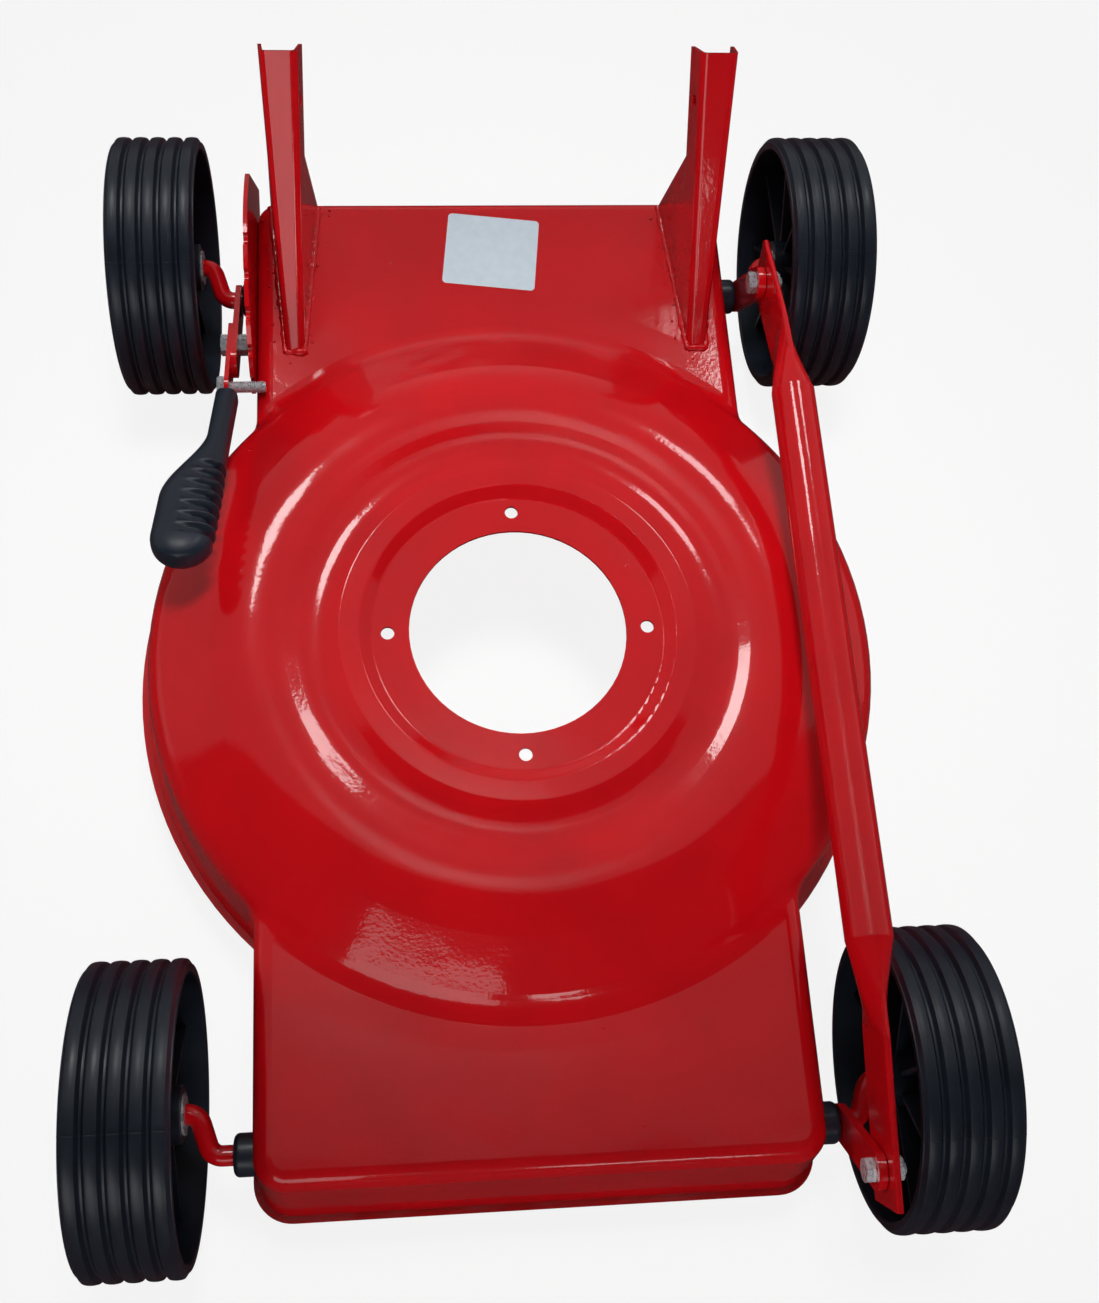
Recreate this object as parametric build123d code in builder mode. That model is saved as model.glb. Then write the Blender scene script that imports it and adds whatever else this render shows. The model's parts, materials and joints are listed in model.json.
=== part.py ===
from build123d import *
import os
from math import atan2, cos, degrees, hypot, radians, sin, tan

# Deck of a walk-behind rotary lawn mower: pressed shell, handle brackets, cranked axles, wheels
# and height gear, in millimetres. The origin is the centre of the engine hole on the top face of
# the engine seat. +Z is up, +Y points to the rear, where the handle goes, +X to the link rod.

os.makedirs("parts", exist_ok=True)

# Deck pressing: engine seat, and the dome around it from the seat outwards
SHEET = 2.0
ENGINE_HOLE_D = 138.0
ENGINE_BOLT_CIRCLE_D = 165.0
ENGINE_BOLT_HOLE_D = 8.5
ENGINE_BOLT_COUNT = 4
SEAT_MARGIN = 10.5
RIM_STEP = 7.0
RIM_WIDTH = 13.0
RIM_RISE = 5.0
RIM_ROUND = 3.5
RIM_FALL = 12.0
VALLEY_WIDTH = 11.0
VALLEY_RISE = 1.5
VALLEY_ROUND = 32.0
CREST_RUN = 36.0
CREST_RISE = 12.0
CREST_ROUND = 60.0
SHOULDER_SLOPE = 30.0
SHOULDER_ROUND = 22.0
SKIRT_R = 244.0
SKIRT_DRAFT = 8.0
SKIRT_DROP = 92.0
LIP_WIDTH = 4.0

# Deck pressing: the box that carries the flat front and rear panels
PANEL_DROP = 26.0
BOX_HALF_WIDTH = 168.0
BOX_FRONT = 339.0
BOX_REAR = 351.0
FRONT_WALL_SLOPE = 12.0
FRONT_CORNER_R = 20.0
REAR_CORNER_R = 14.0
PANEL_EDGE_R = 12.0
DOME_FILLET_MAX = 22.0
DOME_FILLET_SHARE = 0.29

# Wheels
WHEEL_D = 180.0
WHEEL_WIDTH = 59.0
WHEEL_GAP = 5.7
TREAD_RIBS = 5
GROOVE_DEPTH = 3.5
GROOVE_HALF_WIDTH = 2.4
RIM_WALL = 4.5
HUB_D = 34.0
HUB_RECESS = 13.5
DISC_RECESS = 16.0
DISC_THICKNESS = 4.0
SPOKE_COUNT = 8
SPOKE_THICKNESS = 3.0
SPOKE_SETBACK = 12.0

# Cranked axles: the stub that carries a wheel stands off the pivot by the crank
FRONT_STUB_Y = -280.0
WHEELBASE = 589.0
PIVOT_DROP = 56.0
CRANK_TRAIL = 24.0
CRANK_RISE = 6.0
CRANK_LEAN = 7.5
BAR_D = 12.0
BAR_BEND_R = 9.0
BEND_SETBACK = 1.0

# Bushes, washers and nuts on the axles
BUSH_BODY_D = 20.0
BUSH_COLLAR_D = 25.0
BUSH_COLLAR_END = 12.0
BUSH_TAIL = 6.0
WASHER_D = 24.0
WASHER_THICKNESS = 1.5
AXLE_NUT_FLATS = 19.0
AXLE_NUT_HEIGHT = 8.0
STUB_OVERHANG = 1.5

# Link between the axles
ARM_THICKNESS = 5.0
ARM_WIDTH = 22.0
ARM_FORWARD = 30.0
ARM_RISE = 61.0
LINK_TUBE_D = 28.0
LINK_WALL = 1.5
LINK_SLIT = 1.0
LINK_FLAT_WIDTH = 42.0
LINK_ARCH = 27.0
LINK_TIP = 20.0
FRONT_KNEE = 124.0
REAR_KNEE = 104.0
LINK_TRANSITION = 52.0

# Height lever and its quadrant
QUADRANT_THICKNESS = 3.0
QUADRANT_R = 95.6
QUADRANT_FRONT_ANGLE = 165.0
QUADRANT_REAR_ANGLE = 62.0
QUADRANT_TAIL = 88.0
QUADRANT_TAIL_DROP = 12.0
QUADRANT_FOOT = 24.0
NOTCH_COUNT = 5
NOTCH_PITCH = 15.0
LEVER_ANGLE = 159.2
LEVER_ARM_THICKNESS = 4.0
LEVER_ARM_LENGTH = 72.0
LEVER_WIDTH = 22.0
LEVER_STRIP_THICKNESS = 3.0
LEVER_STRIP_START = 36.0
LEVER_BOLT_REACH = 53.0
LEVER_BEND_MARGIN = 10.0
LEVER_TANG_WIDTH = 11.0
LEVER_TANG_LENGTH = 126.0
LEVER_OUTWARD_LEAN = 4.0
LOCK_PIN_INWARD = 7.5
GRIP_GAP = 2.0
GRIP_LENGTH = 158.0
GRIP_THICKNESS = 23.0
GRIP_EDGE_R = 6.0
GRIP_MOUTH_HALF = 7.5
GRIP_NECK_LENGTH = 42.0
GRIP_FLARE_LENGTH = 60.0
GRIP_PADDLE_OUT = 30.0
GRIP_PADDLE_IN = 9.0
GRIP_NECK_R = 40.0
GRIP_END_R = 17.0
GRIP_GROOVES = 4
GRIP_GROOVE_PITCH = 10.0
GRIP_GROOVE_WIDTH = 4.5
GRIP_GROOVE_DEPTH = 5.0
GRIP_GROOVE_MARGIN = 20.0

# Handle brackets
BRACKET_INSET = 27.0
BRACKET_TOP_WIDTH = 24.0
BRACKET_FOOT_WIDTH = 13.0
BRACKET_FLARE = 5.0
BRACKET_SHEET = 2.5
BRACKET_DEPTH = 26.0
BRACKET_LENGTH = 197.0
BRACKET_LEAN = 52.0
BRACKET_FOOT_Y = 222.0
BRACKET_HEEL_Y = 343.0
BRACKET_CHANNEL = 70.0
BRACKET_BEND_R = 5.0
HANDLE_HOLE_D = 8.5
HANDLE_HOLE_REACH = 32.0

# Bolts of the link and the lever
BOLT_D = 8.0
BOLT_FLATS = 13.0
BOLT_HEAD = 5.5
BOLT_NUT = 6.5
BOLT_OVERHANG = 2.0

# Clearances, each on the radius or the face
RUNNING_CLEARANCE = 0.05
SEAT_CLEARANCE = 0.1
FACE_GAP = 0.3
PLATE_GAP = 0.5
LOCK_PIN_CLEARANCE = 0.4

# Heights and stations worked out from the sizes above
SKIRT_Z = -SKIRT_DROP
PANEL_Z = -PANEL_DROP
PIVOT_Z = -PIVOT_DROP
STUB_Z = PIVOT_Z + CRANK_RISE
REAR_STUB_Y = FRONT_STUB_Y + WHEELBASE
FRONT_PIVOT_Y = FRONT_STUB_Y - CRANK_TRAIL
REAR_PIVOT_Y = REAR_STUB_Y - CRANK_TRAIL
BAR_R = BAR_D / 2
BUSH_END_X = BOX_HALF_WIDTH + BUSH_COLLAR_END
ARM_INNER_X = BUSH_END_X + PLATE_GAP
ARM_OUTER_X = ARM_INNER_X + ARM_THICKNESS
CRANK_OFFSET = hypot(CRANK_TRAIL, CRANK_RISE)
CRANK_TURN = atan2(CRANK_OFFSET, CRANK_LEAN)
BEND_RUN = BAR_BEND_R * tan(CRANK_TURN / 2)
CRANK_INNER_X = ARM_OUTER_X + BEND_SETBACK + BEND_RUN
CRANK_OUTER_X = CRANK_INNER_X + CRANK_LEAN
LINK_THICKNESS = 2 * LINK_WALL + LINK_SLIT
LINK_INNER_X = ARM_OUTER_X + PLATE_GAP
LINK_MIDDLE_X = LINK_INNER_X + LINK_THICKNESS / 2
LINK_OUTER_X = LINK_INNER_X + LINK_THICKNESS
LINK_NUT_X = LINK_OUTER_X + FACE_GAP
LINK_BOLT_END_X = LINK_NUT_X + BOLT_NUT + BOLT_OVERHANG
WHEEL_INNER_X = LINK_BOLT_END_X + WHEEL_GAP
HALF_TRACK = WHEEL_INNER_X + WHEEL_WIDTH / 2
INNER_WASHER_X = CRANK_OUTER_X + BEND_RUN + FACE_GAP
HUB_INNER_X = INNER_WASHER_X + WASHER_THICKNESS + FACE_GAP
HUB_OUTER_X = HALF_TRACK + WHEEL_WIDTH / 2 - HUB_RECESS
OUTER_WASHER_X = HUB_OUTER_X + FACE_GAP
AXLE_NUT_X = OUTER_WASHER_X + WASHER_THICKNESS
STUB_END_X = AXLE_NUT_X + AXLE_NUT_HEIGHT + STUB_OVERHANG
LEVER_ARM_OUTER_X = ARM_INNER_X + LEVER_ARM_THICKNESS
LEVER_OUTER_X = LEVER_ARM_OUTER_X + LEVER_STRIP_THICKNESS
BRACKET_X = BOX_HALF_WIDTH - BRACKET_INSET
DOME_FILLET_R = min(DOME_FILLET_MAX, (SKIRT_R - BOX_HALF_WIDTH) * DOME_FILLET_SHARE)
LOCK_PIN_REACH = QUADRANT_R + BOLT_D / 2 + LOCK_PIN_CLEARANCE
LEVER_BEND_REACH = LOCK_PIN_REACH + LEVER_BEND_MARGIN
GRIP_START = LEVER_BEND_REACH + GRIP_GAP
LEVER_TANG_END = GRIP_START + LEVER_TANG_LENGTH

AXLES = {"front": FRONT_PIVOT_Y, "rear": REAR_PIVOT_Y}
SIDES = {"left": -1, "right": 1}


def write(piece, name):
    """Label a finished piece and write it as one STEP file."""
    piece.label = name
    export_step(piece, f"parts/{name}.step")


# Deck shell: one pressing, drawn as its outer form less the same form set in by the sheet
def dome_form(inset, floor):
    """Solid under the dome, set in by inset and closed at the height floor."""
    seat_r = ENGINE_BOLT_CIRCLE_D / 2 + SEAT_MARGIN
    rim_inner = seat_r + RIM_STEP
    rim_outer = rim_inner + RIM_WIDTH
    valley_inner = rim_outer + RIM_FALL
    valley_outer = valley_inner + VALLEY_WIDTH
    crest_r = valley_outer + CREST_RUN
    draft = tan(radians(SKIRT_DRAFT))
    slope = tan(radians(SHOULDER_SLOPE))
    # The shoulder's cone and the drafted skirt meet at this corner before it is rounded
    corner_r = (SKIRT_R - draft * (SKIRT_DROP + CREST_RISE + crest_r * slope)) / (1 - draft * slope)
    corner_z = CREST_RISE - (corner_r - crest_r) * slope
    foot = (SKIRT_R - (floor - SKIRT_Z) * draft, floor)
    with BuildPart() as dome:
        with BuildSketch(Plane.XZ):
            with BuildLine():
                FilletPolyline(
                    (0, 0),
                    (seat_r, 0),
                    (rim_inner, RIM_RISE),
                    (rim_outer, RIM_RISE),
                    (valley_inner, VALLEY_RISE),
                    (valley_outer, VALLEY_RISE),
                    (crest_r, CREST_RISE),
                    (corner_r, corner_z),
                    foot,
                    radius=[*[RIM_ROUND] * 3, VALLEY_ROUND, VALLEY_ROUND, CREST_ROUND, SHOULDER_ROUND],
                )
                Polyline(foot, (0, floor), (0, 0))
            make_face()
            if inset > 0:
                offset(amount=-inset, kind=Kind.INTERSECTION)
                # The offset also leaves the axis, so the core is filled again
                with Locations((0, -inset)):
                    Rectangle(2 * inset, -floor - 2 * inset, align=(Align.MIN, Align.MAX))
        revolve(axis=Axis.Z)
    return dome.part


def box_outline(inset, height, grow=0.0):
    """Rounded plan of the box at a height, as a sketch on that level."""
    slope = radians(FRONT_WALL_SLOPE)
    front = BOX_FRONT - (height - SKIRT_Z) * tan(slope) - inset / cos(slope) + grow
    rear = BOX_REAR - inset + grow
    width = 2 * (BOX_HALF_WIDTH - inset + grow)
    with BuildSketch(Plane.XY.offset(height)) as plan:
        with Locations((0, (rear - front) / 2)):
            Rectangle(width, front + rear)
        fillet(plan.vertices().group_by(Axis.Y)[0], FRONT_CORNER_R - inset + grow)
        fillet(plan.vertices().group_by(Axis.Y)[-1], REAR_CORNER_R - inset + grow)
    return plan.sketch


def box_form(inset, floor):
    """Solid under the flat panels, set in by inset and closed at the height floor."""
    with BuildPart() as box:
        add(box_outline(inset, floor))
        add(box_outline(inset, PANEL_Z - inset))
        loft(ruled=True)
        fillet(box.faces().sort_by(Axis.Z)[-1].edges(), PANEL_EDGE_R - inset)
    return box.part


def deck_form(inset, floor):
    """Dome and box in one solid, with the hollow corner between them rounded."""
    with BuildPart() as form:
        add(dome_form(inset, floor))
        add(box_form(inset, floor + inset))
        seam = form.edges(Select.NEW).filter_by(lambda edge: edge.bounding_box().max.Z > floor + SHEET)
        fillet(seam, DOME_FILLET_R + inset)
    return form.part


with BuildPart() as deck_shell:
    add(deck_form(0, SKIRT_Z))
    with BuildSketch(Plane.XY.offset(SKIRT_Z)) as lip:
        Circle(SKIRT_R + LIP_WIDTH)
        add(box_outline(0, SKIRT_Z, LIP_WIDTH))
    extrude(amount=SHEET)
    add(deck_form(SHEET, SKIRT_Z - 2 * SHEET), mode=Mode.SUBTRACT)
    with BuildSketch() as engine_holes:
        Circle(ENGINE_HOLE_D / 2)
        with PolarLocations(ENGINE_BOLT_CIRCLE_D / 2, ENGINE_BOLT_COUNT):
            Circle(ENGINE_BOLT_HOLE_D / 2)
    extrude(amount=-2 * SHEET, mode=Mode.SUBTRACT)
    with BuildSketch(Plane.YZ) as bush_holes:
        with Locations(*((pivot_y, PIVOT_Z) for pivot_y in AXLES.values())):
            Circle(BUSH_BODY_D / 2 + SEAT_CLEARANCE)
    extrude(amount=BOX_HALF_WIDTH + SHEET, both=True, mode=Mode.SUBTRACT)
write(deck_shell.part, "deck_shell")


# Handle brackets: folded channels on the rear panel, open to the rear, narrow at the foot
BRACKET_UP = Vector(0, cos(radians(BRACKET_LEAN)), sin(radians(BRACKET_LEAN)))
BRACKET_BACK = Vector(0, BRACKET_UP.Z, -BRACKET_UP.Y)
BRACKET_FOOT = Vector(0, BRACKET_FOOT_Y, PANEL_Z)
BRACKET_TOP = BRACKET_FOOT + BRACKET_UP * BRACKET_LENGTH


def bracket_form(side, outline, inset):
    """Outline as thick as the bracket is wide between its flanges, each face set in by inset."""
    middle = Plane(origin=(side * BRACKET_X, 0, 0), x_dir=(0, 1, 0), z_dir=(1, 0, 0))
    taper = (BRACKET_TOP_WIDTH - BRACKET_FOOT_WIDTH) / 2
    with BuildPart() as form:
        with BuildSketch(middle):
            Polygon(*[(point.Y, point.Z) for point in outline], align=None)
        extrude(amount=BRACKET_LENGTH, both=True)
        for way in (-1, 1):
            fold = BRACKET_UP * BRACKET_LENGTH + Vector(way * taper, 0, 0)
            back = BRACKET_BACK + Vector(way * tan(radians(BRACKET_FLARE)), 0, 0)
            outwards = back.cross(fold).normalized() * way
            corner = BRACKET_FOOT + Vector(side * BRACKET_X + way * BRACKET_FOOT_WIDTH / 2, 0, 0)
            split(bisect_by=Plane(origin=corner - outwards * inset, z_dir=outwards), keep=Keep.BOTTOM)
        web = form.faces().sort_by(Axis((0, 0, 0), -BRACKET_BACK))[-1]
        fillet(web.edges().sort_by(SortBy.LENGTH)[-2:], BRACKET_BEND_R - inset)
    return form.part


def handle_bracket(side):
    """Channel whose web leans to the rear and whose flanges stand on the panel."""
    top_rear = BRACKET_TOP + BRACKET_BACK * BRACKET_DEPTH
    waist = top_rear - BRACKET_UP * BRACKET_CHANNEL
    heel = Vector(0, BRACKET_HEEL_Y, PANEL_Z)
    past = BRACKET_UP * BRACKET_DEPTH
    behind = BRACKET_BACK * BRACKET_HEEL_Y
    web = BRACKET_BACK * BRACKET_SHEET
    hollow = [BRACKET_FOOT + web - past, BRACKET_TOP + web + past]
    hollow += [BRACKET_TOP + behind + past, BRACKET_FOOT + behind - past]
    hole = BRACKET_TOP + BRACKET_BACK * (BRACKET_DEPTH / 2) - BRACKET_UP * HANDLE_HOLE_REACH
    with BuildPart() as bracket:
        add(bracket_form(side, [BRACKET_FOOT, BRACKET_TOP, top_rear, waist, heel], 0))
        add(bracket_form(side, hollow, BRACKET_SHEET), mode=Mode.SUBTRACT)
        with BuildSketch(Plane.YZ):
            with Locations((hole.Y, hole.Z)):
                Circle(HANDLE_HOLE_D / 2)
        extrude(amount=BOX_HALF_WIDTH, both=True, mode=Mode.SUBTRACT)
    return bracket.part


for side_name, side in SIDES.items():
    write(handle_bracket(side), f"handle_bracket_{side_name}")


# Height quadrant: notched plate on the left side wall, held under the rear bush's collar
def around_rear_pivot(reach, angle):
    """Y and Z of the point at a reach and an angle from the rear pivot."""
    return (REAR_PIVOT_Y + reach * cos(radians(angle)), PIVOT_Z + reach * sin(radians(angle)))


left_wall = Plane(origin=(-BOX_HALF_WIDTH, 0, 0), x_dir=(0, 1, 0), z_dir=(1, 0, 0))
with BuildPart() as height_quadrant:
    with BuildSketch(left_wall):
        front_end = around_rear_pivot(QUADRANT_R, QUADRANT_FRONT_ANGLE)
        rear_end = around_rear_pivot(QUADRANT_R, QUADRANT_REAR_ANGLE)
        crown = around_rear_pivot(QUADRANT_R, (QUADRANT_FRONT_ANGLE + QUADRANT_REAR_ANGLE) / 2)
        tail = (REAR_PIVOT_Y + QUADRANT_TAIL, PIVOT_Z + QUADRANT_TAIL_DROP)
        foot_z = PIVOT_Z - QUADRANT_FOOT
        with BuildLine():
            ThreePointArc(front_end, crown, rear_end)
            Polyline(
                rear_end,
                tail,
                (REAR_PIVOT_Y + QUADRANT_FOOT, foot_z),
                (REAR_PIVOT_Y - QUADRANT_FOOT, foot_z),
                front_end,
            )
        make_face()
        with Locations((REAR_PIVOT_Y, PIVOT_Z)):
            Circle(BUSH_BODY_D / 2 + SEAT_CLEARANCE, mode=Mode.SUBTRACT)
        for notch in range(NOTCH_COUNT):
            with Locations(around_rear_pivot(QUADRANT_R, LEVER_ANGLE - notch * NOTCH_PITCH)):
                Circle(BOLT_D / 2 + LOCK_PIN_CLEARANCE, mode=Mode.SUBTRACT)
    extrude(amount=-QUADRANT_THICKNESS)
write(height_quadrant.part, "height_quadrant")


# Axle bushes: black collared sleeves in the side walls, the rear left one over the quadrant
def axle_bush(pivot_y, side, seat_x):
    """Sleeve through the wall with a collar from its seat to the axle's arm."""
    inner_x = BOX_HALF_WIDTH - SHEET - BUSH_TAIL
    seat = Plane(origin=(side * seat_x, pivot_y, PIVOT_Z), z_dir=(side, 0, 0))
    with BuildPart() as bush:
        with BuildSketch(seat):
            Circle(BUSH_COLLAR_D / 2)
        extrude(amount=BUSH_END_X - seat_x)
        with BuildSketch(seat):
            Circle(BUSH_BODY_D / 2)
        extrude(amount=inner_x - seat_x)
        with BuildSketch(seat):
            Circle(BAR_R + RUNNING_CLEARANCE)
        extrude(amount=BUSH_COLLAR_END + BUSH_TAIL + QUADRANT_THICKNESS, both=True, mode=Mode.SUBTRACT)
    return bush.part


for axle_name, pivot_y in AXLES.items():
    for side_name, side in SIDES.items():
        on_quadrant = axle_name == "rear" and side_name == "left"
        seat_x = BOX_HALF_WIDTH + (QUADRANT_THICKNESS if on_quadrant else 0)
        write(axle_bush(pivot_y, side, seat_x), f"axle_bush_{axle_name}_{side_name}")


# Axles: one round bar each, bent at both ends into a crank and a stub for the wheel
def cranked_axle(pivot_y):
    """Bar along the pivot line with a stub at each end, swept along its bends."""
    stub_y = pivot_y + CRANK_TRAIL
    right_half = [
        (CRANK_INNER_X, pivot_y, PIVOT_Z),
        (CRANK_OUTER_X, stub_y, STUB_Z),
        (STUB_END_X, stub_y, STUB_Z),
    ]
    left_half = [(-x, y, z) for x, y, z in reversed(right_half)]
    with BuildPart() as axle:
        with BuildLine() as route:
            FilletPolyline(*left_half, *right_half, radius=BAR_BEND_R)
        with BuildSketch(Plane(origin=left_half[0], z_dir=(1, 0, 0))):
            Circle(BAR_R)
        sweep(path=route.wires()[0])
    return axle.part


for axle_name, pivot_y in AXLES.items():
    write(cranked_axle(pivot_y), f"{axle_name}_axle")


# Link arms: flat arms on the right ends of the axles, parallel to each other
def link_arm(pivot_y):
    """Rounded bar of plate from the axle's pivot to the link's pin."""
    pin = (pivot_y - ARM_FORWARD, PIVOT_Z + ARM_RISE)
    middle = (pivot_y - ARM_FORWARD / 2, PIVOT_Z + ARM_RISE / 2)
    plate = Plane(origin=(ARM_INNER_X, 0, 0), x_dir=(0, 1, 0), z_dir=(1, 0, 0))
    with BuildPart() as arm:
        with BuildSketch(plate):
            with Locations(middle):
                SlotCenterToCenter(
                    hypot(ARM_FORWARD, ARM_RISE),
                    ARM_WIDTH,
                    rotation=degrees(atan2(ARM_RISE, -ARM_FORWARD)),
                )
            with Locations((pivot_y, PIVOT_Z)):
                Circle(BAR_R + RUNNING_CLEARANCE, mode=Mode.SUBTRACT)
            with Locations(pin):
                Circle(BOLT_D / 2 + SEAT_CLEARANCE, mode=Mode.SUBTRACT)
        extrude(amount=ARM_THICKNESS)
    return arm.part


for axle_name, pivot_y in AXLES.items():
    write(link_arm(pivot_y), f"{axle_name}_link_arm")


# Link rod: steel tube with its ends pressed flat, arched so that it clears the dome
PIN_Z = PIVOT_Z + ARM_RISE
FRONT_PIN_Y = FRONT_PIVOT_Y - ARM_FORWARD
REAR_PIN_Y = REAR_PIVOT_Y - ARM_FORWARD


def link_point(y, z):
    """Point of the link's middle line."""
    return Vector(LINK_MIDDLE_X, y, z)


def link_form(inset, past_tip):
    """Tube with two flattened ends, set in by inset and carried past each tip."""
    flat_width = LINK_FLAT_WIDTH - 2 * inset
    flat_thickness = LINK_THICKNESS - 2 * inset
    tube_r = LINK_TUBE_D / 2 - inset
    front_knee = link_point(FRONT_PIN_Y + FRONT_KNEE, PIN_Z + LINK_ARCH)
    rear_knee = link_point(REAR_PIN_Y - REAR_KNEE, PIN_Z + LINK_ARCH)
    ends = [
        (link_point(FRONT_PIN_Y, PIN_Z), front_knee),
        (link_point(REAR_PIN_Y, PIN_Z), rear_knee),
    ]
    with BuildPart() as form:
        with BuildSketch(Plane(origin=front_knee, x_dir=(0, 0, 1), z_dir=(0, 1, 0))):
            Circle(tube_r)
        extrude(amount=(rear_knee - front_knee).Y)
        for pin, knee in ends:
            inwards = (knee - pin).normalized()
            tip = pin - inwards * (LINK_TIP + past_tip)
            press = knee - inwards * LINK_TRANSITION
            across = Vector(1, 0, 0).cross(inwards)
            with BuildSketch(Plane(origin=tip, x_dir=across, z_dir=inwards)):
                SlotOverall(flat_width, flat_thickness)
            extrude(amount=(press - tip).length)
            tube_way = Vector(0, 1, 0) if inwards.Y > 0 else Vector(0, -1, 0)
            with BuildSketch(Plane(origin=press, x_dir=across, z_dir=inwards)):
                SlotOverall(flat_width, flat_thickness)
            with BuildSketch(Plane(origin=knee, x_dir=Vector(1, 0, 0).cross(tube_way), z_dir=tube_way)):
                Circle(tube_r)
            loft()
    return form.part


with BuildPart() as link_rod:
    add(link_form(0, 0))
    add(link_form(LINK_WALL, SHEET), mode=Mode.SUBTRACT)
    with BuildSketch(Plane.YZ):
        with Locations((FRONT_PIN_Y, PIN_Z), (REAR_PIN_Y, PIN_Z)):
            Circle(BOLT_D / 2 + RUNNING_CLEARANCE)
    extrude(amount=HALF_TRACK, mode=Mode.SUBTRACT)
write(link_rod.part, "link_rod")


# Bolts and nuts: hexagons across the X axis, a bolt's shank running the other way from its head
def hex_bolt(under_head, way, reach):
    """Bolt whose head starts at a point and grows along way, with a shank of length reach."""
    with BuildPart() as bolt:
        with BuildSketch(Plane(origin=under_head, z_dir=(way, 0, 0))):
            RegularPolygon(BOLT_FLATS / 2, 6, major_radius=False)
        extrude(amount=BOLT_HEAD)
        with BuildSketch(Plane(origin=under_head, z_dir=(way, 0, 0))):
            Circle(BOLT_D / 2)
        extrude(amount=-reach)
    return bolt.part


def ring_on_x(face, way, height, bore_d, outer_d=0.0, flats=0.0):
    """Nut or washer that starts at a face and grows along way."""
    with BuildPart() as ring:
        with BuildSketch(Plane(origin=face, z_dir=(way, 0, 0))):
            if flats > 0:
                RegularPolygon(flats / 2, 6, major_radius=False)
            else:
                Circle(outer_d / 2)
            Circle(bore_d / 2 + RUNNING_CLEARANCE, mode=Mode.SUBTRACT)
        extrude(amount=height)
    return ring.part


for axle_name, pin_y in {"front": FRONT_PIN_Y, "rear": REAR_PIN_Y}.items():
    shank = LINK_BOLT_END_X - ARM_INNER_X
    write(hex_bolt((ARM_INNER_X, pin_y, PIN_Z), -1, shank), f"link_bolt_{axle_name}")
    nut_face = (LINK_NUT_X, pin_y, PIN_Z)
    write(ring_on_x(nut_face, 1, BOLT_NUT, BOLT_D, flats=BOLT_FLATS), f"link_nut_{axle_name}")


# Height lever: an arm on the axle's left end, and a spring strip bolted to it that leans outwards
LEVER_LINE = Vector(0, cos(radians(LEVER_ANGLE)), sin(radians(LEVER_ANGLE)))
LEVER_ACROSS = Vector(0, -LEVER_LINE.Z, LEVER_LINE.Y)
REAR_PIVOT = Vector(0, REAR_PIVOT_Y, PIVOT_Z)


def lever_plane(depth):
    """Plane across the lever at a distance left of the middle, X along the lever, Z outwards."""
    return Plane(origin=REAR_PIVOT - Vector(depth, 0, 0), x_dir=LEVER_LINE, z_dir=(-1, 0, 0))


with BuildPart() as lever_arm:
    with BuildSketch(lever_plane(ARM_INNER_X)):
        with Locations((LEVER_ARM_LENGTH / 2, 0)):
            SlotOverall(LEVER_ARM_LENGTH + LEVER_WIDTH, LEVER_WIDTH)
        Circle(BAR_R + RUNNING_CLEARANCE, mode=Mode.SUBTRACT)
        with Locations((LEVER_BOLT_REACH, 0)):
            Circle(BOLT_D / 2 + SEAT_CLEARANCE, mode=Mode.SUBTRACT)
    extrude(amount=LEVER_ARM_THICKNESS)
write(lever_arm.part, "lever_arm")

# The lever seen from above: X along the lever, Y outwards
lever_plan = Plane(origin=REAR_PIVOT, x_dir=LEVER_LINE, z_dir=LEVER_ACROSS)


def strip_face(reach):
    """Distance of the strip's inner face from the middle, straight at first and then leaning out."""
    return LEVER_ARM_OUTER_X + max(0.0, reach - LEVER_BEND_REACH) * tan(radians(LEVER_OUTWARD_LEAN))


with BuildPart() as height_lever:
    reaches = [LEVER_STRIP_START, LEVER_BEND_REACH, LEVER_TANG_END]
    inner_line = [(reach, strip_face(reach)) for reach in reaches]
    outer_line = [(reach, strip_face(reach) + LEVER_STRIP_THICKNESS) for reach in reversed(reaches)]
    with BuildSketch(lever_plan):
        Polygon(*inner_line, *outer_line, align=None)
    extrude(amount=LEVER_WIDTH / 2, both=True)
    with BuildSketch(lever_plane(0)) as side_view:
        with Locations((LEVER_STRIP_START, 0)):
            Rectangle(GRIP_START - LEVER_STRIP_START, LEVER_WIDTH, align=(Align.MIN, Align.CENTER))
        fillet(side_view.vertices(), LEVER_WIDTH / 2 - SHEET)
        with Locations((LEVER_BEND_REACH - LEVER_WIDTH / 2, 0)):
            Rectangle(LEVER_TANG_END, LEVER_TANG_WIDTH, align=(Align.MIN, Align.CENTER))
        with Locations((LEVER_BOLT_REACH, 0), (LOCK_PIN_REACH, 0)):
            Circle(BOLT_D / 2 + SEAT_CLEARANCE, mode=Mode.SUBTRACT)
    extrude(amount=HALF_TRACK, mode=Mode.INTERSECT)
write(height_lever.part, "height_lever")

for name, reach, inner_x in (
    ("lever_bolt", LEVER_BOLT_REACH, ARM_INNER_X - BOLT_NUT - BOLT_OVERHANG),
    ("lever_lock_pin", LOCK_PIN_REACH, BOX_HALF_WIDTH - LOCK_PIN_INWARD),
):
    y, z = around_rear_pivot(reach, LEVER_ANGLE)
    write(hex_bolt((-LEVER_OUTER_X, y, z), -1, LEVER_OUTER_X - inner_x), name)
y, z = around_rear_pivot(LEVER_BOLT_REACH, LEVER_ANGLE)
write(ring_on_x((-ARM_INNER_X, y, z), 1, BOLT_NUT, BOLT_D, flats=BOLT_FLATS), "lever_nut")

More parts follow.
